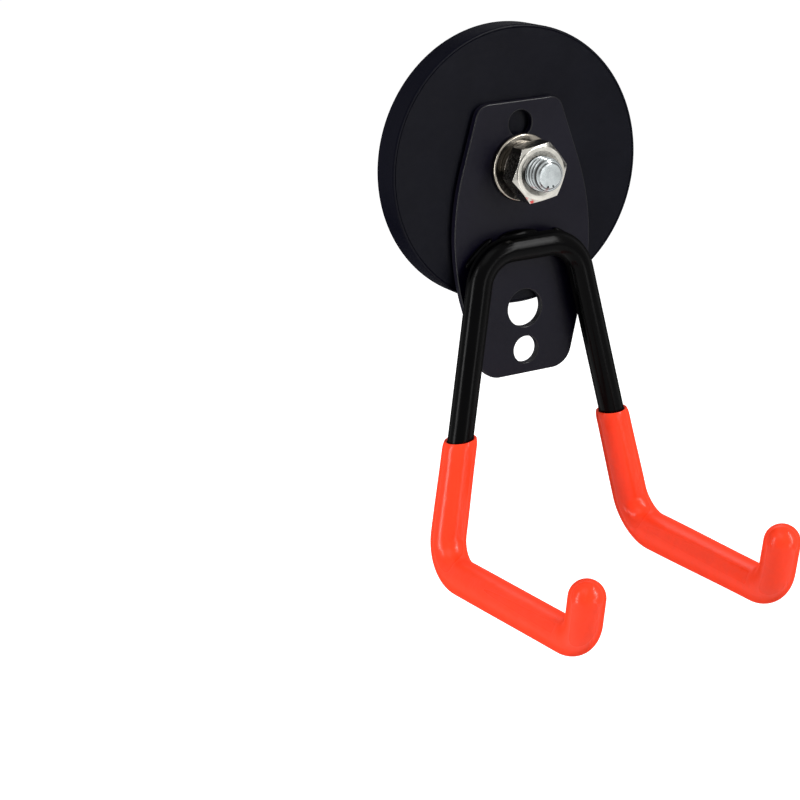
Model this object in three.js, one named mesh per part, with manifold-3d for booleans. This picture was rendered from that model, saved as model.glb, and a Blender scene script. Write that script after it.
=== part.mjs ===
// Magnetic tool hook: a rubber coated disc magnet with a threaded stud, and a
// forked wire hook on a plate that turns about the stud.
// Millimetres, +Z up. The origin is the middle of the magnet's contact face, and
// the hook stands out from the wall towards -Y. A depth is a distance from the
// wall, so a point at some depth has y = -depth.

import * as THREE from 'three';
import { mergeVertices } from 'three/addons/utils/BufferGeometryUtils.js';
import Module from 'manifold-3d';

const wasm = await Module();
wasm.setup();

// Gaps between pieces
const seatGap = 0.1; // flat faces that rest on each other
const slipGap = 0.3; // a round piece and the hole it sits in
const cutOverrun = 1; // how far a cutting tool runs past what it cuts

// Magnet
const magnetDiameter = 66;
const rimRadius = 0.4;
const coatSideWall = 1.6;
const coatFaceWall = 0.9;
const coatFrontWall = 0.8;
const yokeThickness = 3;
const discMagnetCount = 10;
const discMagnetThickness = 3;
const discMagnetRimMargin = 0.8; // from the yoke's rim to the ring of magnets
const discMagnetSpacing = 3.14; // between two neighbours in the ring

// Thread, nut and stud
const threadDiameter = 8;
const threadPitch = 1.25;
const threadClearance = 0.25; // between the nut's thread and the stud's, across the axis
const studShankDiameter = 7.9;
const studHeadDiameter = 16;
const studHeadThickness = 2.2;
const studStandOut = 4.1; // beyond the nut
const studPointDiameter = 5.6;
const studPointLength = 1.5;
const nutAcrossFlats = 13;
const nutThickness = 5.5;
const nutChamfer = 0.5; // along the axis, at the corners
const nutMouthDiameter = 10.4;
const nutMouthDepth = 1;
const nutRestAngle = THREE.MathUtils.degToRad(7.8);

// Washers
const washerDiameter = 16;
const washerHoleDiameter = 8.5;
const washerThickness = 1.3;
const washerEdge = 0.2; // rounding of a washer's edges
const lockWasherDiameter = 12.9;
const lockWasherHoleDiameter = 8.4;
const lockWasherThickness = 1.7;
const lockWasherSplit = 0.8;
const lockWasherSplitLean = THREE.MathUtils.degToRad(25);
const lockWasherSplitAngle = THREE.MathUtils.degToRad(-52);

// Hook plate. Drops and rises are measured from the stud's axis.
const plateThickness = 1.8;
const plateEdge = 0.3;
const plateTopRise = 15.7;
const plateTopWidth = 21.7;
const plateTopRadius = 3.4;
const plateWidestDrop = 15.6;
const plateWidestWidth = 42;
const plateWidestRadius = 58;
const plateBottomDrop = 50.3;
const plateBottomWidth = 23.2;
const plateBottomRadius = 5.5;
const studHoleDiameter = 8.6;
const topHoleDiameter = 6.3;
const topHoleRise = 10.4;
const largeHoleDiameter = 9.25;
const largeHoleDrop = 34.1;
const smallHoleDiameter = 6.65;
const smallHoleDrop = 44.45;

// Bent rod. Widths are between the centre lines of its two sides.
const rodDiameter = 6.15;
const crownDrop = 18.25;
const crownWidth = 25.3;
const crownBend = 9.1;
const kneeDrop = 93;
const kneeWidth = 54.8;
const kneeLean = 2.5; // how much further from the wall the knee is than the crown
const kneeBend = 8.6;
const armReach = 57.7; // from the knee to the toe
const toeWidth = 51.6;
const toeRise = 2.1; // how much higher the toe is than the knee
const toeBend = 7.6;
const tipWidth = 51.6;
const tipReach = 2.7; // from the toe to the tip
const tipRise = 12.2;

// Sleeves
const sleeveWall = 1;
const sleeveMouthDrop = 62.7;

// Weld beads
const beadDiameter = 2.6;
const beadInset = 0.9; // from the rod's edge to the middle of a bead
const crownBeadLength = 9;
const crownBeadShift = -1.5;
const cornerBeadLength = 8;

// How finely round shapes are cut into flats
const coatSides = 72;
const discMagnetSides = 24;
const threadSides = 16;
const fastenerSides = 36;
const holeSides = 28;
const rodSides = 14;
const sleeveSides = 16;
const beadSides = 12;
const capRings = 4;
const rimSteps = 3;
const bendStep = THREE.MathUtils.degToRad(14);
const longestFlat = 4; // along a bend

// One turn of thread along the axis: where the root and the crest start and end,
// as shares of the pitch, and the height of the thread as a share of the pitch
const threadCornerShares = [0, 0.25, 0.5625, 0.6875];
const threadHeightShare = 0.54;

// Worked out from the values above
const magnetRadius = magnetDiameter / 2;
const discMagnetDepth = coatFaceWall + seatGap;
const yokeDepth = discMagnetDepth + discMagnetThickness + seatGap;
const yokeRadius = magnetRadius - coatSideWall - seatGap;
const coatDepth = yokeDepth + yokeThickness + seatGap + coatFrontWall;
const plateDepth = coatDepth + seatGap;
const washerDepth = plateDepth + plateThickness + seatGap;
const lockWasherDepth = washerDepth + washerThickness + seatGap;
const nutDepth = lockWasherDepth + lockWasherThickness + seatGap;
const studHeadDepth = yokeDepth - seatGap - studHeadThickness;
const studEndDepth = nutDepth + nutThickness + studStandOut;
const threadCrestRadius = threadDiameter / 2;
const threadRootRadius = threadCrestRadius - threadPitch * threadHeightShare;
const ringOuterRadius = yokeRadius - discMagnetRimMargin;
const halfPitchSine = Math.sin(Math.PI / discMagnetCount);
const discMagnetRadius = (ringOuterRadius * halfPitchSine - discMagnetSpacing / 2) / (1 + halfPitchSine);
const ringRadius = ringOuterRadius - discMagnetRadius;
const rodRadius = rodDiameter / 2;
const rodDepth = plateDepth + plateThickness + seatGap + rodRadius;
const sleeveBoreRadius = rodRadius + slipGap;
const sleeveRadius = sleeveBoreRadius + sleeveWall;

// A closed geometry as a solid that can be cut and joined
function toSolid(geometry) {
  const bare = geometry.clone();
  bare.deleteAttribute('normal');
  bare.deleteAttribute('uv');
  const merged = mergeVertices(bare);
  const mesh = new wasm.Mesh({
    numProp: 3,
    vertProperties: Float32Array.from(merged.attributes.position.array),
    triVerts: Uint32Array.from(merged.index.array),
  });
  return new wasm.Manifold(mesh);
}

// A solid as a geometry
function toGeometry(solid) {
  const mesh = solid.getMesh();
  const geometry = new THREE.BufferGeometry();
  geometry.setAttribute('position', new THREE.BufferAttribute(mesh.vertProperties, 3));
  geometry.setIndex(new THREE.BufferAttribute(mesh.triVerts, 1));
  geometry.computeVertexNormals();
  return geometry;
}

// A body turned about the stud's axis. The profile is a list of [radius, depth]
// that runs from the wall outwards, on the axis at both ends or closed on itself.
function turned(profile, sides) {
  const points = profile.map(([radius, depth]) => new THREE.Vector2(radius, -depth)).reverse();
  return toSolid(new THREE.LatheGeometry(points, sides));
}

function disc(radius, depth, thickness, sides) {
  const back = depth;
  const front = depth + thickness;
  return turned([[0, back], [radius, back], [radius, front], [0, front]], sides);
}

// A flat ring with rounded outer edges
function ring(outerRadius, holeRadius, depth, thickness, edge) {
  const front = depth + thickness;
  const profile = [
    [holeRadius, depth],
    [outerRadius - edge, depth],
    [outerRadius, depth + edge],
    [outerRadius, front - edge],
    [outerRadius - edge, front],
    [holeRadius, front],
    [holeRadius, depth],
  ];
  return turned(profile, fastenerSides);
}

// The route of a bent line: straight stretches joined by arcs that touch them.
// Each corner has a point and the radius of its bend.
function bentRoute(corners, closed) {
  const stations = [];
  const count = corners.length;
  corners.forEach(({ point, bend }, i) => {
    const before = corners[(i + count - 1) % count].point;
    const after = corners[(i + 1) % count].point;
    if (!closed && i === 0) {
      stations.push({ point, tangent: after.clone().sub(point).normalize() });
      return;
    }
    if (!closed && i === count - 1) {
      stations.push({ point, tangent: point.clone().sub(before).normalize() });
      return;
    }
    const inward = point.clone().sub(before).normalize();
    const outward = after.clone().sub(point).normalize();
    const turn = inward.angleTo(outward);
    const axis = inward.clone().cross(outward).normalize();
    const setBack = bend * Math.tan(turn / 2);
    const start = point.clone().addScaledVector(inward, -setBack);
    const centre = start.clone().addScaledVector(axis.clone().cross(inward), bend);
    const steps = Math.ceil(Math.max(turn / bendStep, (turn * bend) / longestFlat));
    for (let k = 0; k <= steps; k += 1) {
      const angle = (turn * k) / steps;
      const arm = start.clone().sub(centre).applyAxisAngle(axis, angle);
      stations.push({ point: centre.clone().add(arm), tangent: inward.clone().applyAxisAngle(axis, angle) });
    }
  });
  return stations;
}

// A curve that stops at each station of a bent route
class BentPath extends THREE.Curve {
  constructor(stations) {
    super();
    this.stations = stations;
  }

  getPoint(t, target = new THREE.Vector3()) {
    const last = this.stations.length - 1;
    const from = Math.min(Math.floor(t * last), last - 1);
    return target.lerpVectors(this.stations[from].point, this.stations[from + 1].point, t * last - from);
  }

  getPointAt(t, target) {
    return this.getPoint(t, target);
  }

  getTangentAt(t, target = new THREE.Vector3()) {
    return target.copy(this.stations[Math.round(t * (this.stations.length - 1))].tangent);
  }
}

// The corners of an even-sided outline
function sidedOutline(radius, sides, startAngle = 0) {
  return Array.from({ length: sides }, (_, i) => {
    const angle = startAngle + (2 * Math.PI * i) / sides;
    return new THREE.Vector2(radius * Math.cos(angle), radius * Math.sin(angle));
  });
}

function bentBar(stations, radius, sides) {
  const section = new THREE.Shape(sidedOutline(radius, sides));
  const extrudePath = new BentPath(stations);
  return toSolid(new THREE.ExtrudeGeometry(section, { steps: stations.length - 1, extrudePath }));
}

// A flat outline in x and z, thickened from one depth outwards
function slab(outline, holes, depth, thickness, edge) {
  const shape = new THREE.Shape(outline);
  shape.holes = holes.map((hole) => new THREE.Path(hole));
  const geometry = new THREE.ExtrudeGeometry(shape, {
    depth: thickness - 2 * edge,
    bevelEnabled: edge > 0,
    bevelThickness: edge,
    bevelSize: edge,
    bevelOffset: -edge,
    bevelSegments: 1,
  });
  geometry.rotateX(Math.PI / 2);
  geometry.translate(0, -(depth + edge), 0);
  return toSolid(geometry);
}

// A right-handed screw about the stud's axis, longer at both ends than asked.
// A turn starts wherever the depth is a whole number of pitches at angle zero,
// so that every screw made here fits every other.
function screw(rootRadius, crestRadius, fromDepth, toDepth) {
  const corners = threadCornerShares.length;
  const firstTurn = Math.floor(fromDepth / threadPitch) - 2;
  const turns = Math.ceil(toDepth / threadPitch) + 2 - firstTurn;
  const steps = turns * threadSides;
  const radii = [rootRadius, rootRadius, crestRadius, crestRadius];
  const positions = [];
  const addPoint = (radius, angle, depth) => {
    positions.push(radius * Math.cos(angle), -depth, radius * Math.sin(angle));
    return positions.length / 3 - 1;
  };
  for (let step = 0; step <= steps + threadSides; step += 1) {
    const turnsDone = step / threadSides;
    const angle = 2 * Math.PI * (turnsDone % 1);
    threadCornerShares.forEach((share, corner) => {
      addPoint(radii[corner], angle, (firstTurn + turnsDone + share) * threadPitch);
    });
  }
  // The corner past the last one is the first one, a turn later
  const vertex = (step, corner) => (
    corner < corners ? step * corners + corner : (step + threadSides) * corners
  );
  const index = [];
  for (let step = 0; step < steps; step += 1) {
    for (let corner = 0; corner < corners; corner += 1) {
      const a = vertex(step, corner);
      const b = vertex(step + 1, corner);
      const c = vertex(step + 1, corner + 1);
      const d = vertex(step, corner + 1);
      index.push(a, b, c, a, c, d);
    }
  }
  const backTip = addPoint(0, 0, (firstTurn - 1) * threadPitch);
  const frontTip = addPoint(0, 0, (firstTurn + turns + 2) * threadPitch);
  for (let step = 0; step < threadSides; step += 1) {
    index.push(vertex(step + 1, 0), vertex(step, 0), backTip);
    index.push(vertex(steps + step, 0), vertex(steps + step + 1, 0), frontTip);
  }
  for (let corner = 0; corner < corners; corner += 1) {
    index.push(vertex(0, corner), vertex(0, corner + 1), backTip);
    index.push(vertex(steps, corner + 1), vertex(steps, corner), frontTip);
  }
  const geometry = new THREE.BufferGeometry();
  geometry.setAttribute('position', new THREE.Float32BufferAttribute(positions, 3));
  geometry.setIndex(index);
  return toSolid(geometry);
}

// Rubber skin: a disc with soft rims, hollow for the yoke, the magnets and the stud
function rubberCoat() {
  const profile = [[0, 0]];
  for (let k = 0; k <= rimSteps; k += 1) {
    const angle = (Math.PI / 2) * (k / rimSteps);
    profile.push([
      magnetRadius - rimRadius * (1 - Math.sin(angle)),
      rimRadius * (1 - Math.cos(angle)),
    ]);
  }
  const backHalf = profile.slice(1);
  const frontHalf = backHalf.map(([radius, depth]) => [radius, coatDepth - depth]).reverse();
  const outside = turned([[0, 0], ...backHalf, ...frontHalf, [0, coatDepth]], coatSides);
  const yokeRoom = disc(yokeRadius + seatGap, yokeDepth - seatGap, yokeThickness + 2 * seatGap, coatSides);
  const headRoomDepth = studHeadDepth - seatGap;
  const headRoom = disc(
    studHeadDiameter / 2 + slipGap,
    headRoomDepth,
    yokeDepth + yokeThickness / 2 - headRoomDepth,
    fastenerSides,
  );
  const mouthDepth = yokeDepth + yokeThickness / 2;
  const mouth = disc(studShankDiameter / 2 + slipGap, mouthDepth, coatDepth + cutOverrun - mouthDepth, fastenerSides);
  const magnetRooms = ringPlaces().map(({ x, z }) => (
    disc(discMagnetRadius + slipGap, coatFaceWall, yokeDepth + yokeThickness / 2 - coatFaceWall, discMagnetSides)
      .translate([x, 0, z])
  ));
  return [yokeRoom, headRoom, mouth, ...magnetRooms].reduce((coat, room) => coat.subtract(room), outside);
}

// The middles of the disc magnets
function ringPlaces() {
  return Array.from({ length: discMagnetCount }, (_, i) => {
    const angle = Math.PI / 2 + (2 * Math.PI * i) / discMagnetCount;
    return { x: ringRadius * Math.cos(angle), z: ringRadius * Math.sin(angle) };
  });
}

function yokePlate() {
  return disc(yokeRadius, yokeDepth, yokeThickness, coatSides)
    .subtract(disc(
      studShankDiameter / 2 + slipGap / 2,
      yokeDepth - cutOverrun,
      yokeThickness + 2 * cutOverrun,
      fastenerSides,
    ));
}

function discMagnet({ x, z }) {
  return disc(discMagnetRadius, discMagnetDepth, discMagnetThickness, discMagnetSides).translate([x, 0, z]);
}

// Stud: head behind the yoke, plain shank through the yoke and the rubber, then thread
function threadedStud() {
  const shankRadius = studShankDiameter / 2;
  const threadStart = coatDepth + seatGap;
  const shank = turned([
    [0, studHeadDepth],
    [studHeadDiameter / 2, studHeadDepth],
    [studHeadDiameter / 2, studHeadDepth + studHeadThickness],
    [shankRadius, studHeadDepth + studHeadThickness],
    [shankRadius, threadStart],
    [0, threadStart],
  ], fastenerSides);
  const pointStart = studEndDepth - studPointLength;
  const envelope = turned([
    [0, threadStart - threadPitch / 2],
    [threadRootRadius, threadStart - threadPitch / 2],
    [threadCrestRadius + cutOverrun, threadStart + threadPitch / 2],
    [threadCrestRadius + cutOverrun, pointStart],
    [threadCrestRadius, pointStart],
    [studPointDiameter / 2, studEndDepth],
    [0, studEndDepth],
  ], fastenerSides);
  return shank.add(screw(threadRootRadius, threadCrestRadius, threadStart, studEndDepth).intersect(envelope));
}

// Nut: a hexagon with its corners turned off, threaded to run on the stud
function hexNut() {
  const cornerRadius = nutAcrossFlats / 2 / Math.cos(Math.PI / 6);
  const flatRadius = nutAcrossFlats / 2;
  const front = nutDepth + nutThickness;
  const hexagon = slab(sidedOutline(cornerRadius, 6, nutRestAngle), [], nutDepth, nutThickness, 0);
  const turnedOff = turned([
    [0, nutDepth],
    [flatRadius, nutDepth],
    [cornerRadius, nutDepth + nutChamfer],
    [cornerRadius, front - nutChamfer],
    [flatRadius, front],
    [0, front],
  ], fastenerSides);
  const boreRadius = threadRootRadius + threadClearance;
  const mouthRadius = nutMouthDiameter / 2;
  const mouthSlope = (mouthRadius - boreRadius) / nutMouthDepth;
  const flare = mouthRadius + cutOverrun * mouthSlope;
  const backMouth = turned([
    [0, nutDepth - cutOverrun],
    [flare, nutDepth - cutOverrun],
    [boreRadius, nutDepth + nutMouthDepth],
    [0, nutDepth + nutMouthDepth],
  ], fastenerSides);
  const frontMouth = turned([
    [0, front - nutMouthDepth],
    [boreRadius, front - nutMouthDepth],
    [flare, front + cutOverrun],
    [0, front + cutOverrun],
  ], fastenerSides);
  const thread = screw(boreRadius, threadCrestRadius + threadClearance, nutDepth, front);
  return hexagon.intersect(turnedOff).subtract(backMouth).subtract(frontMouth).subtract(thread);
}

function flatWasher() {
  return ring(washerDiameter / 2, washerHoleDiameter / 2, washerDepth, washerThickness, washerEdge);
}

// Spring washer: a ring cut through at a slant
function lockWasher() {
  const outerRadius = lockWasherDiameter / 2;
  const whole = ring(outerRadius, lockWasherHoleDiameter / 2, lockWasherDepth, lockWasherThickness, washerEdge);
  const splitLength = outerRadius + cutOverrun;
  const splitHeight = 2 * (lockWasherThickness + cutOverrun);
  const split = new THREE.BoxGeometry(splitLength, splitHeight, lockWasherSplit);
  split.rotateX(lockWasherSplitLean);
  split.translate(splitLength / 2, 0, 0);
  split.rotateY(-lockWasherSplitAngle);
  split.translate(0, -(lockWasherDepth + lockWasherThickness / 2), 0);
  return whole.subtract(toSolid(split));
}

// Hook plate: narrow at the top, widest below the stud, tapering to a round bottom
function hookPlate() {
  const half = [
    { x: plateTopWidth / 2, z: plateTopRise, bend: plateTopRadius },
    { x: plateWidestWidth / 2, z: -plateWidestDrop, bend: plateWidestRadius },
    { x: plateBottomWidth / 2, z: -plateBottomDrop, bend: plateBottomRadius },
  ];
  const right = half.map(({ x, z, bend }) => ({ point: new THREE.Vector3(x, z, 0), bend }));
  const left = half.map(({ x, z, bend }) => ({ point: new THREE.Vector3(-x, z, 0), bend })).reverse();
  const outline = bentRoute([...right, ...left], true)
    .map(({ point }) => new THREE.Vector2(point.x, point.y)).reverse();
  const hole = (diameter, z) => (
    sidedOutline(diameter / 2, holeSides).map((point) => new THREE.Vector2(point.x, point.y + z))
  );
  const holes = [
    hole(studHoleDiameter, 0),
    hole(topHoleDiameter, topHoleRise),
    hole(largeHoleDiameter, -largeHoleDrop),
    hole(smallHoleDiameter, -smallHoleDrop),
  ];
  return slab(outline, holes, plateDepth, plateThickness, plateEdge);
}

// The corners of the rod's centre line on one side (-1 left, 1 right), crown to tip
function rodCorners(side) {
  const kneeDepth = rodDepth + kneeLean;
  const toeDepth = kneeDepth + armReach;
  const toeHeight = toeRise - kneeDrop;
  return [
    { point: new THREE.Vector3(side * crownWidth / 2, -rodDepth, -crownDrop), bend: crownBend },
    { point: new THREE.Vector3(side * kneeWidth / 2, -kneeDepth, -kneeDrop), bend: kneeBend },
    { point: new THREE.Vector3(side * toeWidth / 2, -toeDepth, toeHeight), bend: toeBend },
    { point: new THREE.Vector3(side * tipWidth / 2, -(toeDepth + tipReach), toeHeight + tipRise), bend: 0 },
  ];
}

function rodRoute() {
  return bentRoute([...rodCorners(-1).reverse(), ...rodCorners(1)], false);
}

function wireFork() {
  return bentBar(rodRoute(), rodRadius, rodSides);
}

// Sleeve: pushed over the lower leg and the arm, closed with a round end
function sleeve(side) {
  const [crown, knee, toe, tip] = rodCorners(side);
  const share = (sleeveMouthDrop - crownDrop) / (kneeDrop - crownDrop);
  const mouth = { point: crown.point.clone().lerp(knee.point, share), bend: 0 };
  const route = bentRoute([mouth, knee, toe, tip], false);
  const legDirection = route[0].tangent;
  const tipDirection = route[route.length - 1].tangent;
  const boreRoute = [
    { point: mouth.point.clone().addScaledVector(legDirection, -cutOverrun), tangent: legDirection },
    ...route.slice(1, -1),
    { point: tip.point.clone().addScaledVector(tipDirection, slipGap), tangent: tipDirection },
  ];
  const dome = new THREE.SphereGeometry(sleeveRadius, sleeveSides, 2 * capRings);
  dome.translate(tip.point.x, tip.point.y, tip.point.z);
  return bentBar(route, sleeveRadius, sleeveSides)
    .add(toSolid(dome))
    .subtract(bentBar(boreRoute, sleeveBoreRadius, rodSides));
}

// Weld bead: a round-ended bead in the corner between the rod and the plate.
// Its middle is at x and z, and it runs at an angle from the X axis.
function weldBead(x, z, angle, length) {
  const beadRadius = beadDiameter / 2;
  const bead = new THREE.CapsuleGeometry(beadRadius, length - beadDiameter, capRings, beadSides);
  bead.rotateZ(Math.PI / 2);
  bead.rotateY(-angle);
  bead.translate(x, -(plateDepth + plateThickness + beadRadius / 2), z);
  const plateRoom = new THREE.BoxGeometry(4 * beadRadius + length, plateThickness, 4 * beadRadius + length);
  plateRoom.translate(x, -(plateDepth + seatGap + plateThickness / 2), z);
  return toSolid(bead)
    .subtract(toSolid(plateRoom))
    .subtract(bentBar(rodRoute(), rodRadius + seatGap, rodSides));
}

function crownWeld() {
  return weldBead(crownBeadShift, rodRadius - beadInset - crownDrop, 0, crownBeadLength);
}

// The bead outside the bend at one end of the crown
function cornerWeld(side) {
  const [crown, knee] = rodCorners(side);
  const legDirection = knee.point.clone().sub(crown.point).setY(0).normalize();
  const turn = Math.atan2(-legDirection.z, side * legDirection.x);
  const setIn = crownBend * (1 / Math.cos(turn / 2) - 1);
  const outward = new THREE.Vector3(side * Math.sin(turn / 2), 0, Math.cos(turn / 2));
  const middle = crown.point.clone().addScaledVector(outward, rodRadius - beadInset - setIn);
  return weldBead(middle.x, middle.z, -side * turn / 2, cornerBeadLength);
}

const rubber = new THREE.MeshStandardMaterial({ color: 0x1d1e21, roughness: 0.62, metalness: 0 });
const bareSteel = new THREE.MeshStandardMaterial({ color: 0x9a9c9e, roughness: 0.4, metalness: 1 });
const magnetPlating = new THREE.MeshStandardMaterial({ color: 0xb9bbbd, roughness: 0.28, metalness: 1 });
const zincPlating = new THREE.MeshStandardMaterial({ color: 0xc9d2d6, roughness: 0.3, metalness: 1 });
const nickelPlating = new THREE.MeshStandardMaterial({ color: 0xd9d3c8, roughness: 0.2, metalness: 1 });
const blackCoat = new THREE.MeshStandardMaterial({ color: 0x232226, roughness: 0.5, metalness: 0 });
const orangeSleeve = new THREE.MeshStandardMaterial({ color: 0xff4b2d, roughness: 0.25, metalness: 0 });

const hook = new THREE.Group();

function place(name, solid, material) {
  const mesh = new THREE.Mesh(toGeometry(solid), material);
  mesh.name = name;
  hook.add(mesh);
}

place('rubber_coat', rubberCoat(), rubber);
place('yoke_plate', yokePlate(), bareSteel);
ringPlaces().forEach((spot, i) => {
  place(`disc_magnet_${String(i + 1).padStart(2, '0')}`, discMagnet(spot), magnetPlating);
});
place('threaded_stud', threadedStud(), zincPlating);
place('hook_plate', hookPlate(), blackCoat);
place('wire_fork', wireFork(), blackCoat);
place('crown_weld', crownWeld(), blackCoat);
place('left_weld', cornerWeld(-1), blackCoat);
place('right_weld', cornerWeld(1), blackCoat);
place('left_sleeve', sleeve(-1), orangeSleeve);
place('right_sleeve', sleeve(1), orangeSleeve);
place('flat_washer', flatWasher(), nickelPlating);
place('lock_washer', lockWasher(), nickelPlating);
place('hex_nut', hexNut(), nickelPlating);

export default hook;
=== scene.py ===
import math

import bpy
from bpy.props import FloatProperty, FloatVectorProperty, IntProperty, PointerProperty
from bpy.types import Operator, Panel, PropertyGroup
from mathutils import Matrix, Vector


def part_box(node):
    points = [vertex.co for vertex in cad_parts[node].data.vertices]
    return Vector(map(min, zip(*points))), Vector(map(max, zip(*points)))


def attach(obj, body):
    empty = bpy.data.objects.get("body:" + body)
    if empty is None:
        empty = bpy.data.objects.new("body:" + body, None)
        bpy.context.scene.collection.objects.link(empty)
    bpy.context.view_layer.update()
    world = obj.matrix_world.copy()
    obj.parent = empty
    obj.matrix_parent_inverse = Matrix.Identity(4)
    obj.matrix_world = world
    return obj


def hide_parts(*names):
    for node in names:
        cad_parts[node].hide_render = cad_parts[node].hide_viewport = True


# Dresses the magnetic hook: smooth meshes and finishes for every piece, a pale
# stage and the camera. Metres, +Z up. The wall is at y = 0 and a depth is a
# distance from it, so a point at some depth has y = -depth.

bl_info = {
    "name": "Magnetic Hook",
    "version": (1, 0, 0),
    "blender": (4, 5, 0),
    "location": "3D View > Sidebar > Hook",
    "description": "Magnetic tool hook: coated magnet, plate, bent rod, sleeves and M8 fastening",
    "category": "Add Mesh",
}

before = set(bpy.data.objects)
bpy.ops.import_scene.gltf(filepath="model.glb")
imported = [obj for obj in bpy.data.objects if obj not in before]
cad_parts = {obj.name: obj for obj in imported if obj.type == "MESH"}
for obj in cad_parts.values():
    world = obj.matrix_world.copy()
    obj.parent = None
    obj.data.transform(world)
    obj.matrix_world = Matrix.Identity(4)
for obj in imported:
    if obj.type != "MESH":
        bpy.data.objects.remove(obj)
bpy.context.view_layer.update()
MM = 0.001
STUD_AXIS = (0, 1, 0)
MERGE_DISTANCE = 1e-7
# A hair's breadth, which keeps touching pieces apart
GAP = 0.1 * MM
# Height of a thread as a share of its pitch
THREAD_HEIGHT = 0.54


def depths(node):
    """How far from the wall a CAD node starts and ends."""
    low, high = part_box(node)
    return -high.y, -low.y


def width(node):
    """How wide a CAD node is, along X."""
    low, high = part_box(node)
    return high.x - low.x


def length_mm(name, description, value):
    """A length, given in millimetres."""
    return FloatProperty(
        name=name, description=description, default=value * MM, precision=5,
        subtype="DISTANCE", unit="LENGTH",
    )


def angle_deg(name, description, value):
    """An angle, given in degrees."""
    return FloatProperty(
        name=name, description=description, default=math.radians(value), subtype="ANGLE"
    )


def colour_rgb(name, description, value):
    """A colour, in linear red, green and blue."""
    return FloatVectorProperty(
        name=name, description=description, default=value, size=3, min=0, max=1, subtype="COLOR"
    )


class HookMagnetSizes(PropertyGroup):
    diameter: length_mm("Diameter", "Across the rubber coat", width("rubber_coat") / MM)
    thickness: length_mm("Thickness", "From the wall to the front", depths("rubber_coat")[1] / MM)
    rim_radius: length_mm("Rim radius", "Rounding of the two rims", 0.4)
    wall: length_mm("Wall", "Rubber round the steel inside", 1.4)
    line_inset: length_mm("Moulding line", "From the outside to the line on the front", 0.55)
    line_width: length_mm("Line width", "Width of the moulding line", 0.22)
    line_depth: length_mm("Line depth", "Depth of the moulding line", 0.12)
    mouth_diameter: length_mm("Mouth", "Opening round the stud", 8.6)
    mouth_rounding: length_mm("Mouth rounding", "Rounding of the opening's edge", 0.3)


class HookPlateSizes(PropertyGroup):
    top_rise: length_mm("Top", "Top edge above the stud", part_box("hook_plate")[1].z / MM)
    top_width: length_mm("Top width", "Width of the top edge before rounding", 21.7)
    top_radius: length_mm("Top corners", "Radius of the top corners", 3.4)
    widest_drop: length_mm("Widest place", "How far below the stud the plate is widest", 15.6)
    widest_width: length_mm("Greatest width", "Width there before rounding", 42)
    widest_radius: length_mm("Side radius", "Radius of the two sides there", 58)
    bottom_drop: length_mm("Bottom", "Bottom edge below the stud", -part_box("hook_plate")[0].z / MM)
    bottom_width: length_mm("Bottom width", "Width of the bottom edge before rounding", 23.2)
    bottom_radius: length_mm("Bottom corners", "Radius of the bottom corners", 5.5)
    stud_hole: length_mm("Stud hole", "Diameter of the hole on the stud", 8.6)
    top_hole: length_mm("Top hole", "Diameter of the hole above the stud", 6.3)
    top_hole_rise: length_mm("Top hole place", "Its middle above the stud", 10.4)
    large_hole: length_mm("Large hole", "Diameter of the spare stud hole", 9.25)
    large_hole_drop: length_mm("Large hole place", "Its middle below the stud", 34.1)
    small_hole: length_mm("Small hole", "Diameter of the lowest hole", 6.65)
    small_hole_drop: length_mm("Small hole place", "Its middle below the stud", 44.45)
    edge: length_mm("Edge rounding", "Rounding of the coated edges", 0.7)


class HookRodSizes(PropertyGroup):
    diameter: length_mm("Diameter", "Thickness of the coated rod", 6.15)
    crown_drop: length_mm("Crown", "Centre line of the crown below the stud", 18.25)
    crown_width: length_mm("Crown width", "Between the crown's two corners", 25)
    crown_shift: length_mm("Crown place", "Middle of the crown, right of the stud", -0.3)
    crown_bend: length_mm("Crown bend", "Radius of the centre line", 9.1)
    knee_drop: length_mm("Knees", "Corner of the knees below the stud", 93)
    knee_width: length_mm("Knee width", "Between the two knees", 55.2)
    knee_lean: length_mm("Knee lean", "Knees further from the wall than the crown", 2.5)
    right_sag: length_mm("Right sag", "How much lower the right knee is", 0.35)
    knee_bend: length_mm("Knee bend", "Radius of the centre line", 8.6)
    arm_reach: length_mm("Arms", "From the knee's corner to the toe's", 57.7)
    toe_width: length_mm("Toe width", "Between the two toes", 51.6)
    toe_rise: length_mm("Toe rise", "Toes higher than the knees", 2.1)
    toe_bend: length_mm("Toe bend", "Radius of the centre line", 7.6)
    tip_width: length_mm("Tip width", "Between the two tips", 51.6)
    tip_reach: length_mm("Tip reach", "Tips further from the wall than the toes", 2.7)
    tip_rise: length_mm("Tip rise", "Tips above the toes", 12.2)


class HookSleeveSizes(PropertyGroup):
    wall: length_mm("Wall", "Thickness of the vinyl", 0.7)
    play: length_mm("Play", "Between the rod and the vinyl", 0.6)
    leg_play: length_mm("Leg play", "How much tighter the legs' stretches are", 0.06)
    mouth_play: length_mm("Mouth play", "How much tighter the open ends are", 0.26)
    right_swell: length_mm("Right swell", "How much thicker the right arm's stretch is", 0.38)
    toe_play: length_mm("Toe play", "How much tighter the left toe is", 0.15)
    tip_play: length_mm("Tip play", "How much thinner the tips are", 0.2)
    left_tip: length_mm("Left tip", "How much shorter the left tip is", 0.45)
    right_tip: length_mm("Right tip", "How much longer the right tip is", 0.8)
    mouth_drop: length_mm("Mouth", "Open end below the stud", 62.7)
    lip: length_mm("Lip", "How much the open end draws in round the rod", 0.34)
    lip_length: length_mm("Lip length", "Length of the end that draws in", 2)
    left_slant: angle_deg("Left slant", "How far the left open end is from square", 15)
    right_slant: angle_deg("Right slant", "How far the right open end is from square", 7)
    slant_reach: length_mm("Slant reach", "How far along the leg the slant eases out", 12)


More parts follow.
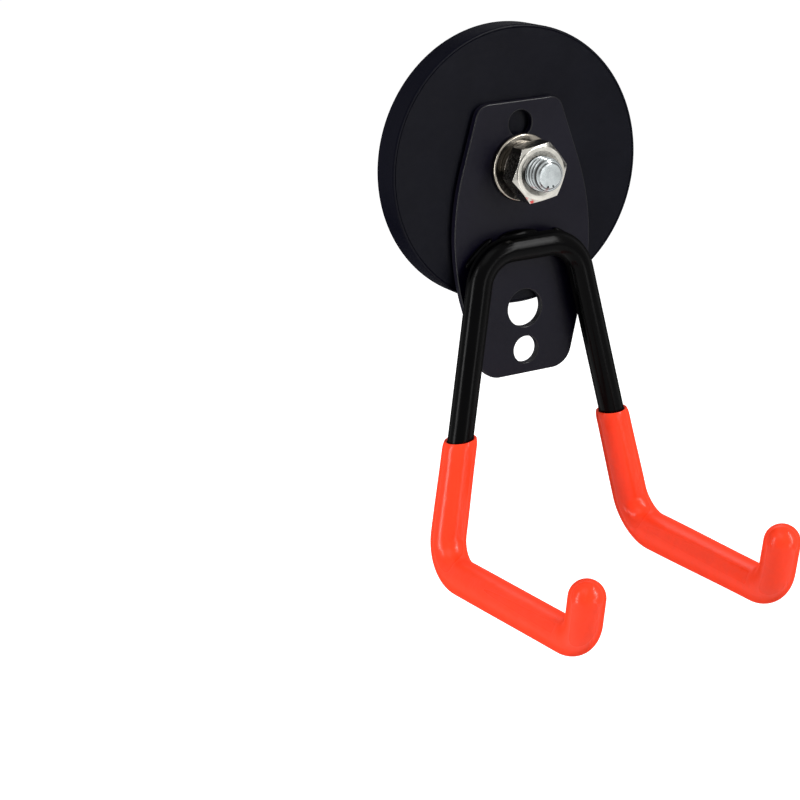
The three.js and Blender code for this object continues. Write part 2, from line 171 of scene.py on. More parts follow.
class HookFastenerSizes(PropertyGroup):
    thread_diameter: length_mm("Thread", "Diameter of the stud's thread", 8)
    thread_pitch: length_mm("Pitch", "Travel of the nut in one turn", 1.25)
    thread_clearance: length_mm("Thread play", "Between the nut's thread and the stud's", 0.2)
    shank_diameter: length_mm("Shank", "Plain part of the stud", 7.9)
    head_thickness: length_mm("Head", "Thickness of the stud's head", 2.2)
    point_diameter: length_mm("Point", "Flat end of the stud", 5.7)
    point_length: length_mm("Point length", "Length of the stud's bevelled end", 1.5)
    worn_crest: length_mm("Worn crest", "How much lower the last turn of thread is", 0.25)
    nick: length_mm("Nick", "Size of the two nicks in the stud's end", 0.44)
    nick_depth: length_mm("Nick depth", "Depth of the two nicks", 0.5)
    nick_angles: FloatVectorProperty(
        name="Nicks", description="Where round the end", size=2, subtype="EULER",
        default=(math.radians(-106), math.radians(-75)),
    )
    across_flats: length_mm("Across flats", "Width of the nut", 13)
    nut_face: length_mm("Nut face", "Diameter of the nut's flat ends", 12.4)
    nut_chamfer: length_mm("Nut chamfer", "Height of the turned corners", 0.7)
    nut_mouth: length_mm("Nut mouth", "Diameter of the countersink", 10.4)
    nut_mouth_depth: length_mm("Mouth depth", "Depth of the countersink", 1)
    nut_edge: length_mm("Nut edge", "Rounding of the nut's edges", 0.09)
    nut_angle: angle_deg("Nut angle", "Turn of the nut about the stud", 7.8)
    washer_hole: length_mm("Washer hole", "Hole of the flat washer", 8.5)
    washer_edge: length_mm("Washer edge", "Rounding of the flat washer", 0.42)
    washer_shift: FloatVectorProperty(
        name="Washer place", description="How far the flat washer hangs off centre", size=3,
        subtype="TRANSLATION", unit="LENGTH", default=(-0.14 * MM, 0, 0.14 * MM), precision=5,
    )
    spring_hole: length_mm("Spring hole", "Hole of the spring washer", 8.4)
    spring_edge: length_mm("Spring edge", "Rounding of the spring washer", 0.25)
    spring_split: length_mm("Split", "Gap between the spring washer's ends", 0.8)
    spring_lean: angle_deg("Split lean", "Slant of the gap", 25)
    spring_angle: angle_deg("Split place", "Where round the stud the gap is", -52)


class HookWeldSizes(PropertyGroup):
    thickness: length_mm("Bead", "Thickness of a weld bead in its middle", 2.7)
    inset: length_mm("Bead inset", "From the rod's edge to the middle of a bead", 0.7)
    crown_length: length_mm("Crown bead", "Length of the bead above the crown", 10.5)
    crown_shift: length_mm("Crown bead place", "Its middle, right of the stud", -1.5)
    corner_length: length_mm("Corner beads", "Length of the beads outside the bends", 9.5)
    corner_thickness: length_mm("Corner bead", "Thickness of the beads outside the bends", 2)
    corner_inset: length_mm("Corner bead inset", "From the rod's edge to their middle", 0.9)
    ripple: length_mm("Ripple", "Height of the ripples along a bead", 0.07)


class HookColours(PropertyGroup):
    rubber: colour_rgb("Rubber", "Moulded coat of the magnet", (0.0004, 0.0005, 0.0028))
    plate: colour_rgb("Plate", "Powder coat of the plate", (0.0006, 0.0002, 0.0040))
    # Lighter than the plate: a painted highlight along the plate's rounded edges.
    edge: colour_rgb("Plate edge", "Thinner coat on the plate's edges", (0.004, 0.004, 0.005))
    rod: colour_rgb("Rod", "Coat of the bent rod", (0.0002, 0.0002, 0.0003))
    vinyl: colour_rgb("Sleeves", "Dipped vinyl", (0.94, 0.048, 0.014))
    nickel: colour_rgb("Nickel", "Nut", (0.50, 0.485, 0.44))
    dull_nickel: colour_rgb("Dull nickel", "Flat washer", (0.22, 0.20, 0.17))
    spring: colour_rgb("Spring steel", "Spring washer", (0.07, 0.063, 0.055))
    zinc: colour_rgb("Zinc", "Stud", (0.42, 0.45, 0.455))
    steel: colour_rgb("Steel", "Yoke inside the magnet", (0.42, 0.42, 0.43))
    mark: colour_rgb("Paint mark", "Dab of paint on the nut", (0.70, 0.045, 0.040))
    # The same dark colour is grime in the stud's nicks, painted shade in the threads and painted dark
    # reflections on the nut and the flat washer.
    oil_and_painted_shade: colour_rgb("Oil", "Dirt in the thread and on the nut's worn corner", (0.012, 0.011, 0.010))


class HookStageSettings(PropertyGroup):
    azimuth: angle_deg("Azimuth", "Camera's place round the hook, from the front", -30.19)
    elevation: angle_deg("Elevation", "Camera's height over the stud", 11.18)
    aim_azimuth: angle_deg("Aim azimuth", "Direction that the camera looks from", -26.97)
    aim_elevation: angle_deg("Aim elevation", "Slope that the camera looks down", 17.9)
    roll: angle_deg("Roll", "Turn of the picture", -2.6)
    distance: length_mm("Distance", "From the magnet's contact face", 479.2)
    lens: FloatProperty(name="Lens", description="Focal length in millimetres", default=89.68)
    floor_drop: length_mm("Floor", "Floor below the stud", 340)
    sides: IntProperty(name="Roundness", description="Flats round a turned piece", default=160)


# Modelling


def deselect():
    if bpy.context.object and bpy.context.object.mode != "OBJECT":
        bpy.ops.object.mode_set(mode="OBJECT")
    bpy.ops.object.select_all(action="DESELECT")


def activate(piece):
    deselect()
    piece.select_set(True)
    bpy.context.view_layer.objects.active = piece


def edit_whole():
    """Edit mode, with the whole mesh selected."""
    bpy.ops.object.mode_set(mode="EDIT")
    bpy.ops.mesh.select_all(action="SELECT")


def apply_place():
    """Puts the active object's place, turn and size into its mesh."""
    bpy.ops.object.transform_apply(location=True, rotation=True, scale=True)


def close_mesh():
    """Merges what lies together, turns the faces outwards and leaves edit mode."""
    bpy.ops.mesh.select_all(action="SELECT")
    bpy.ops.mesh.remove_doubles(threshold=MERGE_DISTANCE)
    bpy.ops.mesh.normals_make_consistent(inside=False)
    bpy.ops.object.mode_set(mode="OBJECT")
    return bpy.context.object


def draw_chain(points):
    """A chain of edges through the points, left in edit mode."""
    deselect()
    bpy.ops.mesh.primitive_plane_add(size=MM)
    edit_whole()
    bpy.ops.mesh.merge(type="CENTER")
    bpy.ops.transform.translate(value=points[0])
    for before, after in zip(points, points[1:]):
        bpy.ops.mesh.extrude_region_move(TRANSFORM_OT_translate={"value": after - before})


def turn_chain(profile, steps):
    """A body turned about the stud from a list of (radius, depth)."""
    draw_chain([Vector((radius, -depth, 0)) for radius, depth in profile])
    bpy.ops.mesh.select_all(action="SELECT")
    bpy.ops.mesh.spin(steps=steps, angle=math.tau, center=(0, 0, 0), axis=STUD_AXIS)
    return close_mesh()


def apply_modifier(piece, kind, **settings):
    activate(piece)
    modifier = piece.modifiers.new(kind.title(), kind)
    for name, value in settings.items():
        setattr(modifier, name, value)
    bpy.ops.object.modifier_apply(modifier=modifier.name)


def combine(piece, tool, operation):
    """Joins a piece with a tool, or cuts it, and takes the tool away."""
    apply_modifier(piece, "BOOLEAN", object=tool, operation=operation, solver="EXACT")
    bpy.data.objects.remove(tool)


def cut_box(piece, place):
    """Cuts out a box: a unit cube that a matrix puts in its place."""
    deselect()
    bpy.ops.mesh.primitive_cube_add(size=1)
    box = bpy.context.object
    box.data.transform(place)
    combine(piece, box, "DIFFERENCE")


def round_edges(piece, radius, segments=3, sharpest=35, material=-1):
    """Rounds the sharp edges; the rounded faces can get a material of their own."""
    apply_modifier(
        piece, "BEVEL", width=radius, segments=segments, limit_method="ANGLE",
        angle_limit=math.radians(sharpest), use_clamp_overlap=True, material=material,
    )


def settle(piece, name, body, node, material, smooth=40):
    """Names and finishes a piece that stands for a CAD node."""
    activate(piece)
    bpy.ops.object.shade_smooth_by_angle(angle=math.radians(smooth))
    apply_modifier(piece, "WEIGHTED_NORMAL", keep_sharp=True)
    piece.name = name
    piece.data.name = name
    piece.data.materials.clear()
    piece.data.materials.append(material)
    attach(piece, body)
    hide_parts(node)
    deselect()
    return piece


def arc_profile(centre, radius, start, end, steps):
    """Points of an arc in (radius, depth), with angles in degrees from the axis outwards."""
    angles = [math.radians(start + (end - start) * k / steps) for k in range(steps + 1)]
    return [(centre[0] + radius * math.cos(a), centre[1] + radius * math.sin(a)) for a in angles]


def bend_at(before, corner, after, radius):
    """Start, centre, axis and turn of the arc that touches both sides of a corner."""
    inward = (corner - before).normalized()
    outward = (after - corner).normalized()
    turn = inward.angle(outward)
    axis = inward.cross(outward).normalized()
    start = corner - inward * radius * math.tan(turn / 2)
    centre = start + axis.cross(inward) * radius
    return start, centre, axis, turn


def rounded_outline(corners, steps):
    """Points of a closed outline whose corners are (point, radius)."""
    points = []
    for i, (corner, radius) in enumerate(corners):
        before = corners[i - 1][0]
        after = corners[(i + 1) % len(corners)][0]
        start, centre, axis, turn = bend_at(before, corner, after, radius)
        for k in range(steps + 1):
            points.append(centre + Matrix.Rotation(turn * k / steps, 3, axis) @ (start - centre))
    return points


class Bar:
    """A round bar drawn from ring to ring in edit mode: stretches are extruded and bends are spun."""

    def __init__(self, start, direction, radius, sides, capped):
        deselect()
        bpy.ops.mesh.primitive_circle_add(
            vertices=sides,
            radius=radius,
            fill_type="NGON" if capped else "NOTHING",
            rotation=direction.to_track_quat("Z", "X").to_euler(),
        )
        apply_place()
        edit_whole()
        bpy.ops.transform.translate(value=start)
        self.place = start.copy()
        self.radius = radius

    def resize(self, radius):
        factor = radius / self.radius
        bpy.ops.transform.resize(value=(factor, factor, factor), center_override=self.place)
        self.radius = radius

    def straight(self, end, radius=None):
        bpy.ops.mesh.extrude_region_move(TRANSFORM_OT_translate={"value": end - self.place})
        self.place = end.copy()
        if radius is not None:
            self.resize(radius)

    def taper(self, end, radius, steps):
        """A stretch that gets thicker or thinner gently."""
        start = self.place.copy()
        before = self.radius
        for k in range(1, steps + 1):
            share = k / steps
            ease = share * share * (3 - 2 * share)
            self.straight(start.lerp(end, share), before + (radius - before) * ease)

    def bend(self, before, corner, after, radius, steps, end_thickness=None):
        """A bend, which may get thicker or thinner on its way."""
        start, centre, axis, turn = bend_at(before, corner, after, radius)
        if (start - self.place).length > MERGE_DISTANCE:
            self.straight(start)
        change = 0 if end_thickness is None else (end_thickness - self.radius) / steps
        for k in range(1, steps + 1):
            # With no window, spin turns clockwise about its axis
            bpy.ops.mesh.spin(steps=1, angle=-turn / steps, center=centre, axis=axis)
            self.place = centre + Matrix.Rotation(turn * k / steps, 3, axis) @ (start - centre)
            self.resize(self.radius + change)

    def dome(self, direction, steps):
        """Closes the end with half a ball."""
        ball = self.radius
        tip = self.place + direction * ball
        for k in range(1, steps):
            angle = math.pi / 2 * k / steps
            self.straight(tip - direction * ball * (1 - math.sin(angle)), ball * math.cos(angle))
        self.straight(tip)
        bpy.ops.mesh.merge(type="CENTER")

    def check(self, end):
        """The ring that is still selected has to be where the route ends."""
        bpy.ops.object.mode_set(mode="OBJECT")
        ring = [v.co for v in bpy.context.object.data.vertices if v.select]
        middle = sum(ring, Vector()) / len(ring)
        if (middle - end).length > GAP:
            raise RuntimeError(f"the bar ends at {tuple(middle)} and not at {tuple(end)}")
        bpy.ops.object.mode_set(mode="EDIT")


# Finishes


class Finish:
    """A node material that is built up step by step around one Principled shader."""

    def __init__(self, name):
        self.material = bpy.data.materials.new(name)
        self.material.use_nodes = True
        self.tree = self.material.node_tree
        self.shader = self.tree.nodes["Principled BSDF"]
        self.place = self.node("ShaderNodeTexCoord").outputs["Object"]

    def node(self, kind, sockets=None, **settings):
        """Adds a node, whose sockets get another node's output or a plain value."""
        node = self.tree.nodes.new(kind)
        for name, value in settings.items():
            setattr(node, name, value)
        for name, value in (sockets or {}).items():
            self.feed(value, node.inputs[name])
        return node

    def feed(self, value, socket):
        """Links an output to a socket, or sets a plain value on it."""
        if isinstance(value, bpy.types.NodeSocket):
            self.tree.links.new(value, socket)
        else:
            socket.default_value = value

    def set(self, **values):
        for name, value in values.items():
            self.feed(value, self.shader.inputs[name.replace("_", " ")])

    def noise(self, scale, detail=3, roughness=0.5, stretch=None):
        place = self.place
        if stretch:
            mapping = self.node("ShaderNodeMapping", {"Vector": place, "Scale": stretch})
            place = mapping.outputs["Vector"]
        sockets = {"Vector": place, "Scale": scale, "Detail": detail, "Roughness": roughness}
        return self.node("ShaderNodeTexNoise", sockets).outputs["Fac"]

    def span(self, value, low, high, from_low=0.3, from_high=0.7):
        """Spreads a value between two limits."""
        sockets = {"From Min": from_low, "From Max": from_high, "To Min": low, "To Max": high}
        node = self.node("ShaderNodeMapRange", {"Value": value, **sockets})
        return node.outputs["Result"]

    def maths(self, operation, *values):
        node = self.node("ShaderNodeMath", dict(enumerate(values)), operation=operation)
        return node.outputs["Value"]

    def blend(self, factor, first, second):
        sockets = {"Factor": factor, 6: first, 7: second}
        return self.node("ShaderNodeMix", sockets, data_type="RGBA").outputs[2]

    def shade(self, colour, factor):
        """A colour made darker or lighter by a value round one."""
        node = self.node("ShaderNodeVectorMath", {0: colour, "Scale": factor}, operation="SCALE")
        return node.outputs["Vector"]

    def against(self, vector, operation):
        """Each place's distance from a point, or its product with a direction."""
        node = self.node("ShaderNodeVectorMath", {0: self.place, 1: vector}, operation=operation)
        return node.outputs["Value"]

    def bump(self, *layers):
        """Adds layers of (height, distance), each on top of the one before."""
        below = {}
        for height, distance in layers:
            node = self.node("ShaderNodeBump", {"Height": height, "Distance": distance, **below})
            below = {"Normal": node.outputs["Normal"]}
        self.set(**below)

    def soften(self, roughness):
        """Roughness that grows towards the outline, where a coat would mirror the bright room."""
        facing = self.node("ShaderNodeLayerWeight").outputs["Facing"]
        return self.maths("MAXIMUM", roughness, self.span(facing, 0, 1, 0.3, 0.65))

    def along(self, axis):
        """The place along X, Y or Z."""
        return self.node("ShaderNodeSeparateXYZ", {"Vector": self.place}).outputs[axis]

    def round_the_stud(self):
        """Distance from the stud's axis."""
        squares = [self.maths("MULTIPLY", value, value) for value in map(self.along, "XZ")]
        return self.maths("SQRT", self.maths("ADD", *squares))


def rubber_finish(name, colour, gloss, level):
    """Moulded rubber: fine grain, faint flow marks and a trace of dust."""
    finish = Finish(name)
    grain = finish.noise(5200, detail=2)
    flow = finish.noise(90, detail=4, roughness=0.6)
    dust = finish.noise(1400, detail=6, roughness=0.7)
    tone = finish.maths("MULTIPLY", finish.span(flow, 0.9, 1.12), finish.span(grain, 0.94, 1.06))
    base = finish.shade(colour, tone)
    specks = finish.span(dust, 0, 0.06, 0.70, 0.80)
    finish.set(
        Base_Color=finish.blend(specks, base, (0.10, 0.10, 0.105, 1)),
        Roughness=finish.soften(finish.span(flow, gloss - 0.04, gloss + 0.04)),
        Specular_IOR_Level=level,
    )
    finish.bump((flow, 0.12 * MM), (grain, 0.02 * MM))
    return finish.material


def powder_finish(name, colour, gloss, level, peel):
    """Black powder coat: orange peel, a fine grain and a few pinholes."""
    finish = Finish(name)
    orange_peel = finish.noise(700, detail=2, roughness=0.4)
    grain = finish.noise(4200, detail=3)
    cloud = finish.noise(60, detail=3)
    tone = finish.maths("MULTIPLY", finish.span(cloud, 0.88, 1.12), finish.span(grain, 0.85, 1.15))
    pits = finish.span(finish.noise(1900, detail=1), 1, 0, 0.14, 0.22)
    finish.set(
        Base_Color=finish.shade(colour, tone),
        Roughness=finish.soften(finish.span(cloud, gloss - 0.04, gloss + 0.05)),
        Specular_IOR_Level=level,
    )
    finish.bump((orange_peel, peel), (grain, 0.012 * MM), (pits, -0.02 * MM))
    return finish.material


def vinyl_finish(colours):
    """Dipped vinyl: smooth and glossy, with soft runs and a faint mottle."""
    finish = Finish("dipped_vinyl")
    runs = finish.noise(130, detail=2, roughness=0.4)
    mottle = finish.noise(900, detail=3)
    fine = finish.noise(3500, detail=2)
    tone = finish.maths("MULTIPLY", finish.span(runs, 0.96, 1.03), finish.span(mottle, 0.98, 1.02))
    finish.set(
        Base_Color=finish.shade(colours.vinyl, tone),
        Roughness=finish.soften(finish.span(mottle, 0.19, 0.25)),
        Specular_IOR_Level=0.15,
        Subsurface_Weight=0.05,
        Subsurface_Radius=(1.2 * MM, 0.4 * MM, 0.2 * MM),
    )
    finish.bump((runs, 0.3 * MM), (mottle, 0.03 * MM), (fine, 0.006 * MM))
    return finish.material


def plated_finish(name, colour, gloss, marks=(), tooling=0.0014 * MM, mottle=0.9):
    """Bright plating over turned and pressed steel: tool rings, hairlines and a slight haze.

    A mark is what gives its share, from none to all, its colour, and whether it is paint.
    Paint is dull; grime, painted shade and painted dark reflections still glint."""
    finish = Finish(name)
    haze = finish.noise(420, detail=4, roughness=0.6)
    hairlines = finish.noise(900, detail=5, roughness=0.7, stretch=(1, 0.15, 6))
    wobble = finish.maths("MULTIPLY", haze, 0.4 * MM)
    radius = finish.maths("ADD", finish.round_the_stud(), wobble)
    turns_per_metre = 26000
    rings = finish.maths("SINE", finish.maths("MULTIPLY", radius, turns_per_metre))
    streaks = finish.span(hairlines, 0.96, 1.03)
    tone = finish.maths("MULTIPLY", finish.span(haze, mottle, 1.06), streaks)
    base = finish.shade(colour, tone)
    roughness = finish.span(haze, gloss - 0.04, gloss + 0.08)
    metallic = 1.0
    for share_of, cover, paint in marks:
        share = share_of(finish)
        base = finish.blend(share, base, (*cover, 1.0))
        roughness = finish.maths("MAXIMUM", roughness, finish.maths("MULTIPLY", share, 0.4))
        if paint:
            metallic = finish.maths("MULTIPLY", metallic, finish.maths("SUBTRACT", 1.0, share))
    finish.set(Base_Color=base, Roughness=roughness, Metallic=metallic)
    finish.bump((haze, 0.03 * MM), (rings, tooling), (hairlines, 0.005 * MM))
    return finish.material


def patch(colour, centre, size, raggedness, strength=1.0, paint=True):
    """A dab of paint or a dirty place on a plated face."""

    def share_of(finish):
        ragged = finish.span(finish.noise(2200, detail=4), -size * raggedness, size * raggedness)
        reach = finish.maths("ADD", finish.against(centre, "DISTANCE"), ragged)
        return finish.span(reach, strength, 0, size * 0.85, size * 1.1)

    return share_of, colour, paint


def ring_mark(
    colour, inner, outer, front, angle=0, spread=math.pi, amount=1.0, behind=False, paint=False
):
    """A speckled mark between two radii, on both sides of an angle round the stud: painted dark
    reflections on the nut and the flat washer, painted shade and a dark ring on the stud, and dull
    paint in the nut's countersink.

    It lies further out from the wall than the front's depth, or behind it."""
    fade = 0.06 * MM
    middle = (math.cos(angle), 0, math.sin(angle))

    def share_of(finish):
        radius = finish.round_the_stud()
        beyond = finish.span(radius, 0, amount, inner - fade, inner + fade)
        within = finish.span(radius, 1, 0, outer - fade, outer + fade)
        cosine = finish.maths("DIVIDE", finish.against(middle, "DOT_PRODUCT"), radius)
        near = finish.span(cosine, 0, 1, math.cos(spread) - 0.01, math.cos(spread * 0.85))
        side = "GREATER_THAN" if behind else "LESS_THAN"
        ahead = finish.maths(side, finish.along("Y"), -front)
        share = finish.span(finish.noise(1800, detail=4), 0.7, 1.0, 0.4, 0.55)
        for factor in (beyond, within, near, ahead):
            share = finish.maths("MULTIPLY", share, factor)
        return share

    return share_of, colour, paint


def grooves(colour, root, crest, end):
    """Painted shade between a thread's root and crest radii, up to some depth."""

    def share_of(finish):
        low = finish.span(finish.round_the_stud(), 0.92, 0, root, crest)
        threaded = finish.maths("GREATER_THAN", finish.along("Y"), -end)
        return finish.maths("MULTIPLY", low, threaded)

    return share_of, colour, False


def steel_finish(colours):
    """Bare blanked steel, seen only with the magnet taken apart."""
    finish = Finish("bare_steel")
    mill = finish.noise(700, detail=5, roughness=0.7, stretch=(1, 1, 8))
    stain = finish.noise(120, detail=3)
    finish.set(
        Base_Color=finish.shade(colours.steel, finish.span(stain, 0.8, 1.1)),
        Roughness=finish.span(mill, 0.34, 0.5),
        Metallic=1.0,
    )
    finish.bump((mill, 0.01 * MM))
    return finish.material


def seen_directly(tree):
    """One where the camera, a reflection or glass shows a thing, and zero for its light."""
    path = tree.nodes.new("ShaderNodeLightPath")
    seen = path.outputs["Is Camera Ray"]
    for name in ("Is Glossy Ray", "Is Transmission Ray"):
        either = tree.nodes.new("ShaderNodeMath")
        either.operation = "MAXIMUM"
        tree.links.new(seen, either.inputs[0])
        tree.links.new(path.outputs[name], either.inputs[1])
        seen = either.outputs["Value"]
    return seen


def floor_finish():
    """White floor: plain to the camera and to reflections, and it still takes a shadow."""
    finish = Finish("pale_floor")
    finish.set(
        Base_Color=finish.shade((0.6, 0.6, 0.6), finish.span(finish.noise(3, detail=2), 0.99, 1.0)),
        Roughness=0.9,
        Specular_IOR_Level=0.0,
    )
    glow = finish.maths("MULTIPLY", seen_directly(finish.tree), 0.96)
    finish.set(Emission_Color=(1, 1, 1, 1), Emission_Strength=glow)
    return finish.material


# Pieces


class HOOK_OT_magnet_coat(Operator):
    """Mould the rubber coat round the magnet"""

    bl_idname = "hook.magnet_coat"
    bl_label = "Magnet coat"

    def execute(self, context):
        sizes = context.scene.hook_magnet
        radius = sizes.diameter / 2
        rim = sizes.rim_radius
        front = sizes.thickness
        mouth = sizes.mouth_diameter / 2
        lip = sizes.mouth_rounding
        inside = depths("yoke_plate")[1] + GAP
        back_inside = depths("disc_magnet_01")[0] - GAP
        profile = [(0, 0), (radius - 3 * rim, 0)]
        profile += arc_profile((radius - rim, rim), rim, -90, 0, 8)
        profile += arc_profile((radius - rim, front - rim), rim, 0, 90, 8)
        line = radius - sizes.line_inset
        profile += [
            (line, front),
            (line - sizes.line_width / 2, front - sizes.line_depth),
            (line - sizes.line_width, front),
            (radius - 4 * rim, front),
            (mouth + 3 * lip, front),
        ]
        profile += arc_profile((mouth + lip, front - lip), lip, 90, 180, 5)
        hollow = radius - sizes.wall
        profile += [(mouth, inside), (hollow, inside), (hollow, back_inside), (0, back_inside)]
        coat = turn_chain(profile, context.scene.hook_stage.sides)
        colour = context.scene.hook_colours.rubber
        face = rubber_finish("rubber_face", colour, gloss=0.32, level=0.067)
        settle(coat, "magnet_coat", "magnet", "rubber_coat", face)
        side = rubber_finish("rubber_side", colour, gloss=0.6, level=0.025)
        coat.data.materials.append(side)
        sideways = 0.7
        for polygon in coat.data.polygons:
            if abs(polygon.normal.y) < sideways and polygon.center.length > radius / 2:
                polygon.material_index = 1
        return {"FINISHED"}


class HOOK_OT_magnet_core(Operator):
    """Finish the yoke and the disc magnets inside the coat"""

    bl_idname = "hook.magnet_core"
    bl_label = "Magnet core"

    def execute(self, context):
        colours = context.scene.hook_colours
        steel = steel_finish(colours)
        plating = plated_finish("magnet_plating", colours.nickel, 0.2)
        for name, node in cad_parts.items():
            if name == "yoke_plate" or name.startswith("disc_magnet"):
                node.data.materials.clear()
                node.data.materials.append(steel if name == "yoke_plate" else plating)
        return {"FINISHED"}


class HOOK_OT_plate(Operator):
    """Press the plate, with its four holes and soft coated edges"""

    bl_idname = "hook.plate"
    bl_label = "Plate"

    def execute(self, context):
        sizes = context.scene.hook_plate
        back, front = depths("hook_plate")
        half = [
            (sizes.top_width / 2, sizes.top_rise, sizes.top_radius),
            (sizes.widest_width / 2, -sizes.widest_drop, sizes.widest_radius),
            (sizes.bottom_width / 2, -sizes.bottom_drop, sizes.bottom_radius),
        ]
        corners = [(Vector((x, -back, z)), radius) for x, z, radius in half]
        corners += [(Vector((-x, -back, z)), radius) for x, z, radius in reversed(half)]
        outline = rounded_outline(corners, steps=14)
        draw_chain([*outline, outline[0]])
        holes = [
            (sizes.stud_hole, 0),
            (sizes.top_hole, sizes.top_hole_rise),
            (sizes.large_hole, -sizes.large_hole_drop),
            (sizes.small_hole, -sizes.small_hole_drop),
        ]
        for diameter, height in holes:
            bpy.ops.mesh.primitive_circle_add(
                vertices=72, radius=diameter / 2, location=(0, -back, height),
                rotation=(math.pi / 2, 0, 0),
            )
        bpy.ops.mesh.select_all(action="SELECT")
        bpy.ops.mesh.remove_doubles(threshold=MERGE_DISTANCE)
        bpy.ops.mesh.fill(use_beauty=True)
        bpy.ops.mesh.dissolve_limited(angle_limit=math.radians(0.1))
        bpy.ops.mesh.extrude_region_move(TRANSFORM_OT_translate={"value": (0, back - front, 0)})
        plate = close_mesh()
        colours = context.scene.hook_colours
        coat = powder_finish("plate_coat", colours.plate, gloss=0.33, level=0.111, peel=0.03 * MM)
        # The rounded edges get a lighter, glossier coat; its lighter colour is a painted highlight
        # along them.
        edge_highlight_coat = powder_finish(
            "plate_edge", colours.edge, gloss=0.25, level=0.2, peel=0.01 * MM
        )
        plate.data.materials.append(coat)
        plate.data.materials.append(edge_highlight_coat)
        round_edges(plate, sizes.edge, segments=5, material=1)
        face_coats = [polygon.material_index for polygon in plate.data.polygons]
        settle(plate, "plate", "hook", "hook_plate", coat)
        plate.data.materials.append(edge_highlight_coat)
        plate.data.polygons.foreach_set("material_index", face_coats)
        return {"FINISHED"}


def rod_corners(context, side):
    """Corners of the rod's centre line on one side, from the crown to the tip, as (point, bend)."""
    rod = context.scene.hook_rod
    depth = depths("hook_plate")[1] + GAP + rod.diameter / 2
    knee = depth + rod.knee_lean
    toe = knee + rod.arm_reach
    toe_height = rod.toe_rise - rod.knee_drop
    knee_height = -rod.knee_drop - (rod.right_sag if side > 0 else 0)
    tip = toe + rod.tip_reach
    crown_x = rod.crown_shift + side * rod.crown_width / 2
    return [
        (Vector((crown_x, -depth, -rod.crown_drop)), rod.crown_bend),
        (Vector((side * rod.knee_width / 2, -knee, knee_height)), rod.knee_bend),
        (Vector((side * rod.toe_width / 2, -toe, toe_height)), rod.toe_bend),
        (Vector((side * rod.tip_width / 2, -tip, toe_height + rod.tip_rise)), 0),
    ]


class HOOK_OT_rod(Operator):
    """Bend the rod: crown, legs, arms and tips"""

    bl_idname = "hook.rod"
    bl_label = "Rod"

    def execute(self, context):
        rod = context.scene.hook_rod
        corners = [*reversed(rod_corners(context, -1)), *rod_corners(context, 1)]
        points = [point for point, bend in corners]
        bar = Bar(points[0], points[1] - points[0], rod.diameter / 2, 48, capped=True)
        for before, (corner, bend), after in zip(points, corners[1:-1], points[2:]):
            bar.bend(before, corner, after, bend, 18)
        bar.straight(points[-1])
        bar.check(points[-1])
        piece = close_mesh()
        colour = context.scene.hook_colours.rod
        finish = powder_finish("rod_coat", colour, gloss=0.18, level=0.042, peel=0.01 * MM)
        settle(piece, "rod", "hook", "wire_fork", finish)
        return {"FINISHED"}


class HOOK_OT_sleeves(Operator):
    """Push the two vinyl sleeves over the arms"""

    bl_idname = "hook.sleeves"
    bl_label = "Sleeves"

    def slant_mouth(self, piece, mouth, along, side, slant, reach):
        """Draws the open end's inner side up along the leg, and the sleeve eases into it."""
        touching = 0.01 * MM
        ring = [v.co for v in piece.data.vertices if (v.co - mouth).dot(along) < touching]
        outer_edge = max(side * place.x for place in ring)
        for vertex in piece.data.vertices:
            below = (vertex.co - mouth).dot(along)
            inward = outer_edge - side * vertex.co.x
            if below < reach:
                vertex.co -= along * inward * math.tan(slant) * (1 - below / reach)

    def sleeve(self, context, side):
        sizes = context.scene.hook_sleeves
        radius = context.scene.hook_rod.diameter / 2 + sizes.play + sizes.wall
        crown, knee, toe, tip = [point for point, bend in rod_corners(context, side)]
        bends = [bend for point, bend in rod_corners(context, side)]
        share = (-sizes.mouth_drop - crown.z) / (knee.z - crown.z)
        mouth = crown.lerp(knee, share)
        along = (knee - crown).normalized()
        leg = radius - sizes.leg_play
        open_end = radius - sizes.mouth_play
        if side > 0:
            arm, toe_radius, growth = radius + sizes.right_swell, radius, sizes.right_tip
        else:
            arm, toe_radius, growth = radius, radius - sizes.toe_play, -sizes.left_tip
        bar = Bar(mouth, along, open_end - sizes.lip, 64, capped=False)
        for share in (0.08, 0.2, 0.35, 0.55, 0.8, 1):
            drawn_in = sizes.lip * (1 - share) ** 2
            bar.straight(mouth + along * sizes.lip_length * share, open_end - drawn_in)
        upward = (tip - toe).normalized()
        end = tip + upward * growth
        bar.taper(bend_at(crown, knee, toe, bends[1])[0], leg, 10)
        bar.bend(crown, knee, toe, bends[1], 22, arm)
        bar.taper(bend_at(knee, toe, tip, bends[2])[0], toe_radius, 14)
        bar.bend(knee, toe, tip, bends[2], 18, radius - sizes.tip_play)
        bar.straight(end)
        bar.check(end)
        bar.dome(upward, 14)
        piece = close_mesh()
        slant = sizes.right_slant if side > 0 else sizes.left_slant
        self.slant_mouth(piece, mouth, along, side, slant, sizes.slant_reach)
        apply_modifier(piece, "SOLIDIFY", thickness=sizes.wall, offset=-1, use_even_offset=True)
        round_edges(piece, sizes.wall * 0.38, segments=4, sharpest=50)
        return piece

    def execute(self, context):
        finish = vinyl_finish(context.scene.hook_colours)
        for side, name in ((-1, "left_sleeve"), (1, "right_sleeve")):
            piece = self.sleeve(context, side)
            settle(piece, f"vinyl_{name}", "hook", name, finish)
        return {"FINISHED"}


